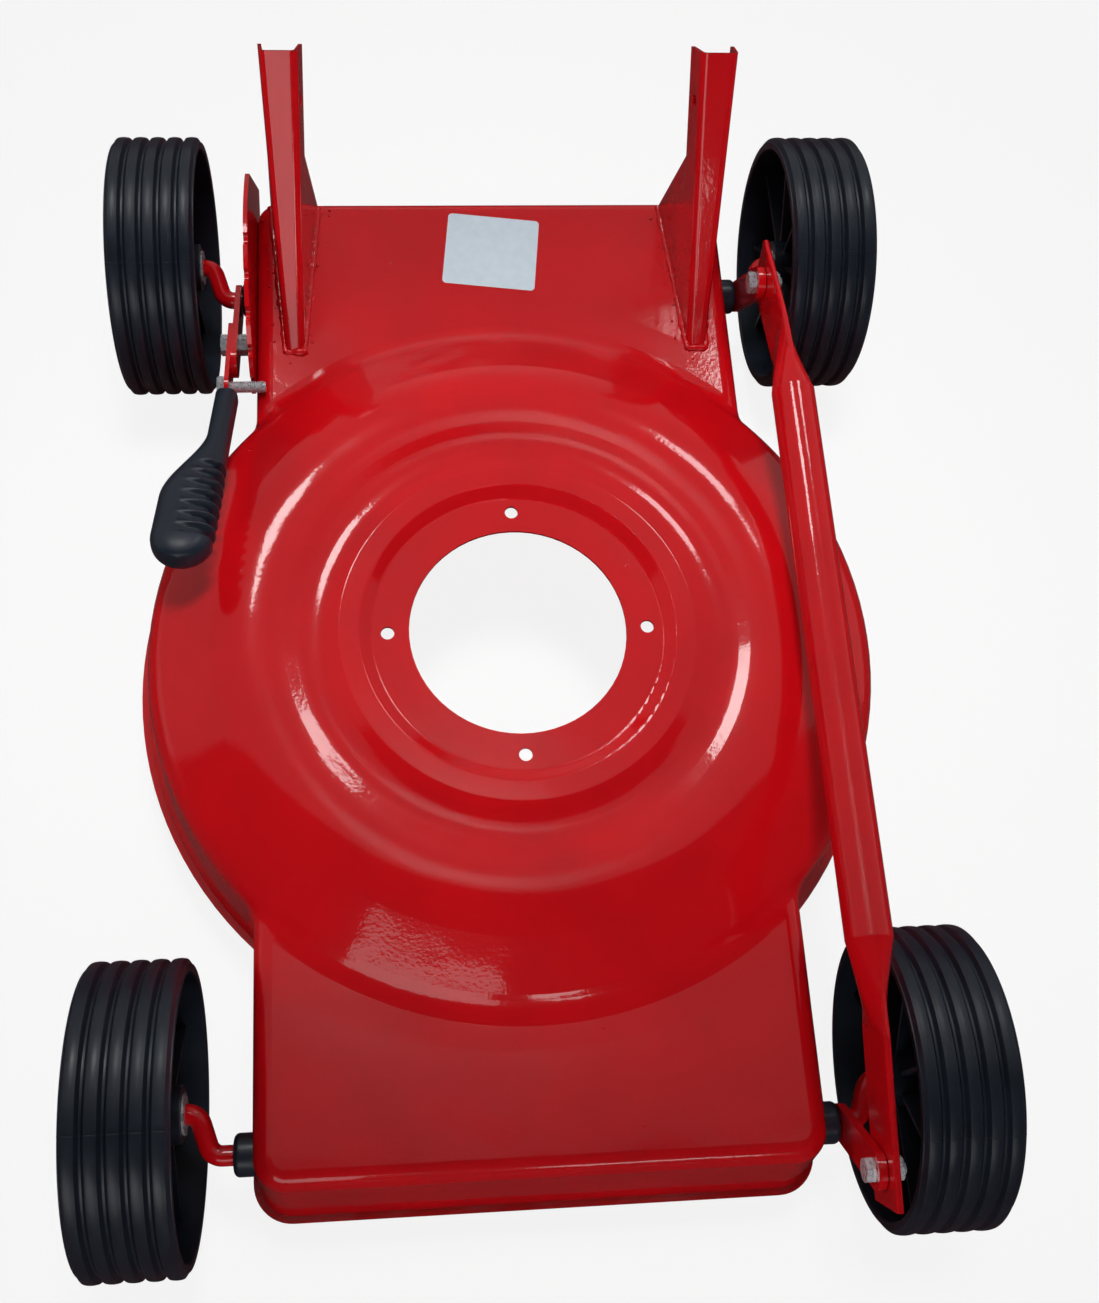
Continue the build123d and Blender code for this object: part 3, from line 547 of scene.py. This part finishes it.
for place_name, seam_turn in SEAM_TURNS.items():
    side = 1 if place_name.endswith("right") else -1
    wheel_name = f"wheel_{place_name}"
    low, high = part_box(wheel_name)
    centre = (low + high) / 2
    radius = (high.z - low.z) / 2
    half = (high.x - low.x) / 2
    pitch = 2 * half / TREAD_RIBS
    inner_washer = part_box(f"inner_washer_{place_name}")
    outer_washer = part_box(f"outer_washer_{place_name}")
    hub_in = max(abs(inner_washer[0].x), abs(inner_washer[1].x)) + HUB_GAP - abs(centre.x)
    hub_out = min(abs(outer_washer[0].x), abs(outer_washer[1].x)) - HUB_GAP - abs(centre.x)
    rim_r = radius - GROOVE_DEPTH - RIM_WALL
    disc_out = half - DISC_RECESS
    disc_in = disc_out - DISC_THICKNESS
    tread = []
    for step in range(TREAD_RIBS * RIB_STEPS + 1):
        rib = step / RIB_STEPS
        from_groove = abs(rib - round(rib)) * pitch / GROOVE_HALF
        drop = (GROOVE_DEPTH - RIB_CROWN) * math.exp(-(from_groove**GROOVE_SQUARENESS))
        crown = RIB_CROWN * math.cos(math.pi * rib) ** 2
        tread.append((radius - drop - crown, -half + rib * pitch))
    inside = [
        (rim_r + EDGE_ROUND, half),
        (rim_r, half - EDGE_ROUND),
        (rim_r - EDGE_ROUND, disc_out + EDGE_ROUND),
        (rim_r - 2 * EDGE_ROUND, disc_out),
        (HUB_RADIUS + EDGE_ROUND, disc_out),
        (HUB_RADIUS, disc_out + EDGE_ROUND),
        (HUB_RADIUS, hub_out - EDGE_ROUND),
        (HUB_RADIUS - EDGE_ROUND, hub_out),
        (BORE_RADIUS, hub_out),
        (BORE_RADIUS, hub_in),
        (HUB_RADIUS - EDGE_ROUND, hub_in),
        (HUB_RADIUS, hub_in + EDGE_ROUND),
        (HUB_RADIUS, disc_in - EDGE_ROUND),
        (HUB_RADIUS + EDGE_ROUND, disc_in),
        (rim_r - 2 * EDGE_ROUND, disc_in),
        (rim_r - EDGE_ROUND, disc_in - EDGE_ROUND),
        (rim_r, -half + EDGE_ROUND),
        (rim_r + EDGE_ROUND, -half),
    ]
    body = spin(tread + inside, WHEEL_TURNS)
    # The mould's parting line: a thin ridge across the tread
    at_seam = Matrix.Rotation(math.pi / 2 + side * math.radians(seam_turn), 3, "Z")
    seam = []
    for tread_r, height in tread:
        ridge = ((-SEAM_HEIGHT, -SEAM_HALF), (SEAM_HEIGHT, 0), (-SEAM_HEIGHT, SEAM_HALF))
        corners = [Vector((tread_r + rise, across, height)) for rise, across in ridge]
        seam.append([body.verts.new(at_seam @ corner) for corner in corners])
    for first, second in zip(seam, seam[1:]):
        for corner in range(3):
            following = (corner + 1) % 3
            body.faces.new((first[corner], first[following], second[following], second[corner]))
    body.faces.new(reversed(seam[0]))
    body.faces.new(seam[-1])
    spokes = {
        "Count": SPOKE_COUNT,
        "Radius": (rim_r + HUB_RADIUS) / 2,
        "Height": (disc_in - half + SPOKE_SETBACK) / 2,
        "Size": (rim_r - HUB_RADIUS + RIM_WALL, SPOKE_THICKNESS, disc_in + half - SPOKE_SETBACK),
        "Finish": polypropylene,
    }
    wheel = grow("wheel", plain_mesh("wheel", body), spoke_tree, spokes)
    wheel.transform(Matrix.Translation(centre) @ Matrix.Rotation(side * math.pi / 2, 4, "Y"))
    finish_piece(f"moulded_{wheel_name}", wheel, polypropylene, wheel_name, "black_wheel", wheel_name)

# Axle bushes: black nylon sleeves pushed through the side walls before the axle is threaded in.
# Each is turned from bar, with a well-rounded collar outside and a plain tail inside, and is as black
# and waxy as the wheels.
COLLAR_ROUND = 3.5 * MM
COLLAR_STEPS = 6
BUSH_TURNS = 48
DECK_WALL_X = 168 * MM
BUSH_TAIL_RADIUS = 10 * MM
for name in [name for name in nodes if name.startswith("axle_bush")]:
    low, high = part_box(name)
    side = 1 if low.x > 0 else -1
    collar_r = (high.z - low.z) / 2
    outer_x, inner_x = max(abs(low.x), abs(high.x)), min(abs(low.x), abs(high.x))
    axis_y, axis_z = (low.y + high.y) / 2, (low.z + high.z) / 2
    bore_r = min(math.hypot(v.co.y - axis_y, v.co.z - axis_z) for v in nodes[name].data.vertices)
    profile = [
        (bore_r, inner_x),
        (BUSH_TAIL_RADIUS, inner_x),
        (BUSH_TAIL_RADIUS, DECK_WALL_X),
        (collar_r, DECK_WALL_X),
    ]
    for step in range(COLLAR_STEPS + 1):
        turn = math.pi / 2 * step / COLLAR_STEPS
        rounding = COLLAR_ROUND * (1 - math.sin(turn))
        profile.append((collar_r - COLLAR_ROUND * (1 - math.cos(turn)), outer_x - rounding))
    profile.append((bore_r, outer_x))
    bush = spin(profile, BUSH_TURNS)
    bush_place = Matrix.Translation((0, axis_y, axis_z)) @ Matrix.Rotation(side * math.pi / 2, 4, "Y")
    bmesh.ops.transform(bush, matrix=bush_place, verts=bush.verts)
    bush_mesh = plain_mesh("bush", bush)
    finish_piece(f"turned_{name}", bush_mesh, polypropylene, "deck", "black_plastic", name)

# Lever grip: black plastic pushed over the lever's tang, a narrow neck that flares into a paddle
# with finger ribs across the side that faces the deck.
LEVER_ANGLE = math.radians(159.2)
LEVER_LEAN = math.radians(4.0)
GRIP_REACH = 112 * MM
GRIP_LENGTH = 158 * MM
GRIP_MIDDLE_X = 186.08 * MM
GRIP_THICKNESS = 23 * MM
NECK_HALF = 7.5 * MM
NECK_SHARE = 0.78  # the neck's thickness as a share of the paddle's
NECK_LENGTH = 42 * MM
FLARE_LENGTH = 62 * MM
PADDLE_OUT = 30 * MM
PADDLE_IN = 9 * MM
PADDLE_ROUND = 20 * MM
TIP_SHARE = 0.35  # the tip's thickness as a share of the paddle's
TIP_FLAT = 0.02  # share of the width that is left at the very tip
RIB_COUNT = 7
RIB_PITCH = 10 * MM
RIB_MARGIN = 15 * MM
RIB_DEPTH = 5.5 * MM
RIB_FADE = 3 * MM
NOTCH_SLOPE = 2.2  # how steeply a notch falls away from its rib
NOTCH_START = 0.6  # how wide the rib's crest stays
FIN_REACH = 0.15  # fins end where the section's cosine passes this
FIN_RUN = 0.35  # how much of the cosine a fin takes to reach its full depth
FIN_WAIST = 0.26  # share of the thickness cut away between fins
GRIP_STATIONS = 160
GRIP_SECTION = 48
CORNER_POWER = 2.8  # 2 is an elliptic section, more is squarer
GRIP_SMOOTH = math.radians(60)


def ease(value):
    """Smooth step from 0 to 1."""
    share = min(max(value, 0.0), 1.0)
    return share * share * (3 - 2 * share)


grip = bmesh.new()
rings = []
for station in range(GRIP_STATIONS + 1):
    reach = GRIP_LENGTH * station / GRIP_STATIONS
    flare = ease((reach - NECK_LENGTH) / FLARE_LENGTH)
    outer = NECK_HALF + (PADDLE_OUT - NECK_HALF) * flare
    inner = NECK_HALF + (PADDLE_IN - NECK_HALF) * flare
    thick = GRIP_THICKNESS / 2 * (NECK_SHARE + (1 - NECK_SHARE) * flare)
    past = max(0.0, (reach - GRIP_LENGTH + PADDLE_ROUND) / PADDLE_ROUND)
    tip = math.sqrt(max(0.0, 1 - past * past))
    middle = (outer - inner) / 2
    half_width = (outer + inner) / 2 * max(tip, TIP_FLAT)
    thick *= TIP_SHARE + (1 - TIP_SHARE) * tip
    from_tip = GRIP_LENGTH - RIB_MARGIN - reach
    in_ribs = ease(from_tip / RIB_FADE) * ease((RIB_COUNT * RIB_PITCH - from_tip) / RIB_FADE)
    swell = abs(math.sin(math.pi * from_tip / RIB_PITCH))
    notch = in_ribs * ease(NOTCH_SLOPE * swell - NOTCH_START)
    ring = []
    for corner in range(GRIP_SECTION):
        turn = math.tau * corner / GRIP_SECTION
        across, up = math.cos(turn), math.sin(turn)
        y = math.copysign(abs(across) ** (2 / CORNER_POWER), across)
        z = math.copysign(abs(up) ** (2 / CORNER_POWER), up)
        ribbed = notch * ease((FIN_REACH - across) / FIN_RUN)
        y = middle + y * half_width + ribbed * RIB_DEPTH * max(-across, 0.0)
        z = z * thick * (1 - FIN_WAIST * ribbed)
        ring.append(grip.verts.new((reach, y, z)))
    rings.append(ring)
for first, second in zip(rings, rings[1:]):
    for corner in range(GRIP_SECTION):
        following = (corner + 1) % GRIP_SECTION
        grip.faces.new((first[corner], first[following], second[following], second[corner]))
grip.faces.new(rings[0])
grip.faces.new(rings[-1])
lever_line = Vector((0, math.cos(LEVER_ANGLE), math.sin(LEVER_ANGLE)))
grip_along = lever_line * math.cos(LEVER_LEAN) - Vector((math.sin(LEVER_LEAN), 0, 0))
grip_up = Vector((0, math.sin(LEVER_ANGLE), -math.cos(LEVER_ANGLE)))
grip_out = grip_along.cross(grip_up)
pivot = next(Vector(joint["pos_m"]) for joint in frame["joints"] if joint["name"] == "rear_axle_pivot")
mouth = Vector((-GRIP_MIDDLE_X, pivot.y, pivot.z)) + lever_line * GRIP_REACH
grip_place = Matrix.Translation(mouth) @ Matrix((grip_along, grip_out, grip_up)).transposed().to_4x4()
bmesh.ops.transform(grip, matrix=grip_place, verts=grip.verts)
bmesh.ops.recalc_face_normals(grip, faces=grip.faces)
grip_mesh = plain_mesh("grip_paddle", grip, GRIP_SMOOTH)
finish_piece("grip_paddle", grip_mesh, polypropylene, "rear_axle_set", "black_plastic", "lever_grip")

# Bolts, nuts, washers and the lock pin: steel, zinc-plated. The hexagons are forged, so their corners
# are turned off at both ends, and the shanks carry a rolled thread up to a chamfered end.
HEX_TURNS = 72
HEX_CHAMFER = math.tan(math.radians(30))
HEAD_SHARE = 0.95  # what reaches this share of the widest point belongs to the hexagon
THREAD_PITCH = 1.25 * MM
THREAD_DEPTH = 0.45 * MM
END_CHAMFER = 0.8 * MM
FASTENER_SMOOTH = math.radians(25)
ZINC_GREY = "#B6BBC1"
ZINC_BRIGHT = "#D8DCE0"
HAZE_SIZE = 3 * MM
HAZE_HEIGHT = 0.1 * MM

# Bright zinc plate: a blue-white metal, hazed in small cloudy patches where it was passivated.
zinc, tree, shader, place = start_material("bright_zinc_plate")
haze = add_node(tree, "ShaderNodeTexNoise", {"Scale": 1 / HAZE_SIZE, "Detail": 3.0}, {"Vector": place})
greys = add_node(
    tree,
    "ShaderNodeMix",
    {"data_type": "RGBA", 6: linear(ZINC_GREY), 7: linear(ZINC_BRIGHT)},
    {0: haze.outputs["Fac"]},
)
haze_gloss = add_node(
    tree, "ShaderNodeMapRange", {"To Min": 0.16, "To Max": 0.42}, {"Value": haze.outputs["Fac"]}
)
haze_bump = add_node(
    tree,
    "ShaderNodeBump",
    {"Strength": 0.1, "Distance": HAZE_HEIGHT},
    {"Height": haze.outputs["Fac"]},
)
tree.links.new(greys.outputs[2], shader.inputs["Base Color"])
tree.links.new(haze_gloss.outputs["Result"], shader.inputs["Roughness"])
tree.links.new(haze_bump.outputs["Normal"], shader.inputs["Normal"])
shader.inputs["Metallic"].default_value = 0.6
dress(zinc, *[name for name in nodes if "washer" in name])


def hexagon(flats, bottom, top):
    """A forged hexagon on the Z axis, its corners turned off at both ends."""
    form = bmesh.new()
    rings = []
    for level, share in ((bottom, 0), (bottom, 1), (top, 1), (top, 0)):
        ring = []
        for step in range(HEX_TURNS):
            turn = math.tau * step / HEX_TURNS
            from_flat = (turn + math.pi / 6) % (math.pi / 3) - math.pi / 6
            reach = flats / 2 / math.cos(from_flat) if share else flats / 2
            fall = (reach - flats / 2) * HEX_CHAMFER
            height = level + fall if level == bottom else level - fall
            ring.append(form.verts.new((reach * math.cos(turn), reach * math.sin(turn), height)))
        rings.append(ring)
    for lower, upper in zip(rings, rings[1:]):
        for step in range(HEX_TURNS):
            following = (step + 1) % HEX_TURNS
            form.faces.new((lower[step], lower[following], upper[following], upper[step]))
    form.faces.new(reversed(rings[0]))
    form.faces.new(rings[-1])
    return form


for name in [name for name in nodes if "bolt" in name or "nut" in name or "lock_pin" in name]:
    low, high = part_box(name)
    axis_y, axis_z = (low.y + high.y) / 2, (low.z + high.z) / 2
    spots = [(v.co.x, math.hypot(v.co.y - axis_y, v.co.z - axis_z)) for v in nodes[name].data.vertices]
    widest = max(reach for _, reach in spots)
    head = [x for x, reach in spots if reach > HEAD_SHARE * widest]
    head_low, head_high = min(head), max(head)
    forged = hexagon(high.y - low.y, head_low, head_high)
    if "nut" not in name:
        # The shank leaves the head on one side; its thread is a row of ridges
        head_span = (head_low - END_CHAMFER, head_high + END_CHAMFER)
        shank_r = max(reach for x, reach in spots if not head_span[0] < x < head_span[1])
        way = 1 if high.x - head_high > head_low - low.x else -1
        start, end = (head_high, high.x) if way > 0 else (head_low, low.x)
        turns = int(abs(end - start) / THREAD_PITCH)
        root = start - way * END_CHAMFER
        outline = [(0.0, root), (shank_r, root), (shank_r, start)]
        for thread in range(turns):
            height = start + way * thread * THREAD_PITCH
            outline.append((shank_r - THREAD_DEPTH, height + way * THREAD_PITCH / 2))
            outline.append((shank_r, height + way * THREAD_PITCH))
        outline[-1] = (shank_r - END_CHAMFER, end)
        outline.append((0.0, end))
        shank = spin(outline, HEX_TURNS // 2)
        shank_mesh = bpy.data.meshes.new("shank")
        shank.to_mesh(shank_mesh)
        shank.free()
        forged.from_mesh(shank_mesh)
    # The hexagon's Z axis turns on to X, with two flats facing front and back
    z_to_x = Matrix(((0, 0, 1), (1, 0, 0), (0, 1, 0))).to_4x4()
    onto_x = Matrix.Translation((0, axis_y, axis_z)) @ z_to_x
    bmesh.ops.transform(forged, matrix=onto_x, verts=forged.verts)
    bmesh.ops.recalc_face_normals(forged, faces=forged.faces)
    mesh = plain_mesh("fastener", forged, FASTENER_SMOOTH)
    finish_piece(f"forged_{name}", mesh, zinc, nodes[name]["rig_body"], "zinc_steel", name)

# Studio floor: a wide sheet of pale paper that the wheels stand on. It glows to the camera, less near
# the deck so that the shadow stays; in the enamel it shows a painted reflection, dim and reddened as
# if by the deck above it.
FLOOR_HALF = 30.0
FLOOR_PAPER = "#F0F0EF"
# Painted reflection: the floor's colour to glossy rays alone, dim and reddened as if by the deck's
# shade and glow
FLOOR_PAINTED_REFLECTION = "#5E3A3B"
FLOOR_GLOW = 0.86  # share of plain white near the deck
WHITE_FROM = 0.7  # distances from the origin over which the glow rises to plain white
WHITE_AT = 1.8
GROUND_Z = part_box("wheel_front_left")[0].z
paper, tree, shader, place = start_material("pale_studio_paper")
shader.inputs["Roughness"].default_value = 0.9
seen = add_node(tree, "ShaderNodeLightPath")
floor_tone = add_node(
    tree,
    "ShaderNodeMix",
    {"data_type": "RGBA", 6: linear(FLOOR_PAPER), 7: linear(FLOOR_PAINTED_REFLECTION)},
    {0: seen.outputs["Is Glossy Ray"]},
)
tree.links.new(floor_tone.outputs[2], shader.inputs["Base Color"])
away = add_node(tree, "ShaderNodeVectorMath", {"operation": "LENGTH"}, {0: place})
whiteness = add_node(
    tree,
    "ShaderNodeMapRange",
    {
        "interpolation_type": "SMOOTHSTEP",
        "From Min": WHITE_FROM,
        "From Max": WHITE_AT,
        "To Min": FLOOR_GLOW,
    },
    {"Value": away.outputs["Value"]},
)
glow_share = add_node(
    tree,
    "ShaderNodeMath",
    {"operation": "MULTIPLY"},
    {0: seen.outputs["Is Camera Ray"], 1: whiteness.outputs["Result"]},
)
glow = add_node(tree, "ShaderNodeEmission", {"Color": linear("#FFFFFF"), "Strength": 1.0})
floor_mix = add_node(
    tree,
    "ShaderNodeMixShader",
    links={0: glow_share.outputs["Value"], 1: shader.outputs["BSDF"], 2: glow.outputs["Emission"]},
)
tree.links.new(floor_mix.outputs["Shader"], tree.nodes["Material Output"].inputs["Surface"])
floor_mesh = bpy.data.meshes.new("studio_floor")
square = ((-1, -1), (1, -1), (1, 1), (-1, 1))
floor_corners = [(x * FLOOR_HALF, y * FLOOR_HALF, GROUND_Z) for x, y in square]
floor_mesh.from_pydata(floor_corners, [], [(0, 1, 2, 3)])
floor_mesh.materials.append(paper)
floor = bpy.data.objects.new("studio_floor", floor_mesh)
bpy.context.scene.collection.objects.link(floor)

# Studio room: white to the camera and pale as a light. Where the enamel mirrors it, the ceiling behind
# the deck is grey and the side where the camera stands is dark.
ROOM_LIGHT = 0.18
CEILING_MIRRORED = 0.32
CAMERA_SIDE_MIRRORED = 0.03
CEILING_EDGE = (0.02, 0.05)  # where the dark side ends, as the Y part of the mirrored direction
world = bpy.data.worlds.new("studio_room")
world.use_nodes = True
room_tree = world.node_tree
room = room_tree.nodes["Background"]
room.inputs["Color"].default_value = linear("#FFFFFF")
seen = add_node(room_tree, "ShaderNodeLightPath")
heading = add_node(room_tree, "ShaderNodeTexCoord")
heading_parts = add_node(
    room_tree, "ShaderNodeSeparateXYZ", links={"Vector": heading.outputs["Generated"]}
)
ceiling = add_node(
    room_tree,
    "ShaderNodeMapRange",
    {
        "From Min": CEILING_EDGE[0],
        "From Max": CEILING_EDGE[1],
        "To Min": CAMERA_SIDE_MIRRORED,
        "To Max": CEILING_MIRRORED,
    },
    {"Value": heading_parts.outputs["Y"]},
)
mirrored = add_node(
    room_tree,
    "ShaderNodeMix",
    {2: ROOM_LIGHT},
    {0: seen.outputs["Is Glossy Ray"], 3: ceiling.outputs["Result"]},
)
strength = add_node(
    room_tree, "ShaderNodeMix", {3: 1.0}, {0: seen.outputs["Is Camera Ray"], 2: mirrored.outputs[0]}
)
room_tree.links.new(strength.outputs[0], room.inputs["Strength"])
bpy.context.scene.world = world

# Studio lamps: one broad soft lamp overhead and low ones all round light the deck, and a window, a
# small front lamp and two lamps behind show in the enamel alone. Each has its place, the point it
# faces, its width and height, its power in watts and the angle of its beam in degrees.
SOFT_LAMPS = {
    "soft_overhead": ((0.0, 0.3, 1.8), (0, 0.08, 0), (0.4, 0.4), 1.25, 37),
    "soft_front": ((0.0, -1.8, 0.08), (0, -0.34, -0.05), (0.9, 0.2), 2.8, 100),
    "soft_left": ((-2.0, 0.2, 0.3), (0, 0, -0.05), (0.9, 0.3), 5.0, 120),
    "soft_right": ((2.0, 0.2, 0.3), (0, 0, -0.05), (0.9, 0.3), 5.0, 120),
    "soft_rear": ((0.0, 2.2, 0.3), (0, 0.3, -0.05), (0.9, 0.3), 5.0, 120),
}
BRIGHT_LAMPS = {
    "bright_window": ((-0.88, -2.5, 1.4), (0, 0, 0), (1.5, 1.0), 9.0, 180),
    "bright_front": ((0.45, -2.5, 1.2), (0, 0, 0), (0.5, 0.3), 2.0, 180),
    "bright_left": ((-0.52, 1.21, 2.0), (0, 0, 0), (0.4, 0.4), 7.0, 180),
    "bright_right": ((0.8, 1.32, 2.0), (0, 0, 0), (0.35, 0.35), 4.0, 180),
}
for name, (spot, aim, (width, height), watts, beam) in {**SOFT_LAMPS, **BRIGHT_LAMPS}.items():
    lamp_data = bpy.data.lights.new(name, "AREA")
    lamp_data.shape = "RECTANGLE"
    lamp_data.size = width
    lamp_data.size_y = height
    lamp_data.energy = watts
    lamp_data.spread = math.radians(beam)
    lamp = bpy.data.objects.new(name, lamp_data)
    lamp.location = spot
    lamp.rotation_euler = (Vector(spot) - Vector(aim)).to_track_quat("Z", "Y").to_euler()
    lamp.visible_glossy = name in BRIGHT_LAMPS
    lamp.visible_diffuse = name in SOFT_LAMPS
    bpy.context.scene.collection.objects.link(lamp)

# Camera: held at arm's length over the front edge and tipped towards the handle. Its place, turn
# and lens were fitted to the wheels, the engine hole and the corners of the panels.
CAMERA_PLACE = (-0.0816, -0.358, 0.888)
CAMERA_TURN = (21.31, -3.95, -3.24)  # degrees about X, Y and Z
CAMERA_LENS = 41.97  # mm, as is the sensor
CAMERA_SENSOR = 36.0
CAMERA_SHIFT = 0.0238
camera_data = bpy.data.cameras.new("photo_camera")
camera_data.lens = CAMERA_LENS
camera_data.sensor_width = CAMERA_SENSOR
camera_data.shift_x = CAMERA_SHIFT
camera = bpy.data.objects.new("photo_camera", camera_data)
camera.location = CAMERA_PLACE
camera.rotation_euler = [math.radians(angle) for angle in CAMERA_TURN]
bpy.context.scene.collection.objects.link(camera)
bpy.context.scene.camera = camera
bpy.context.scene.view_settings.view_transform = "Standard"
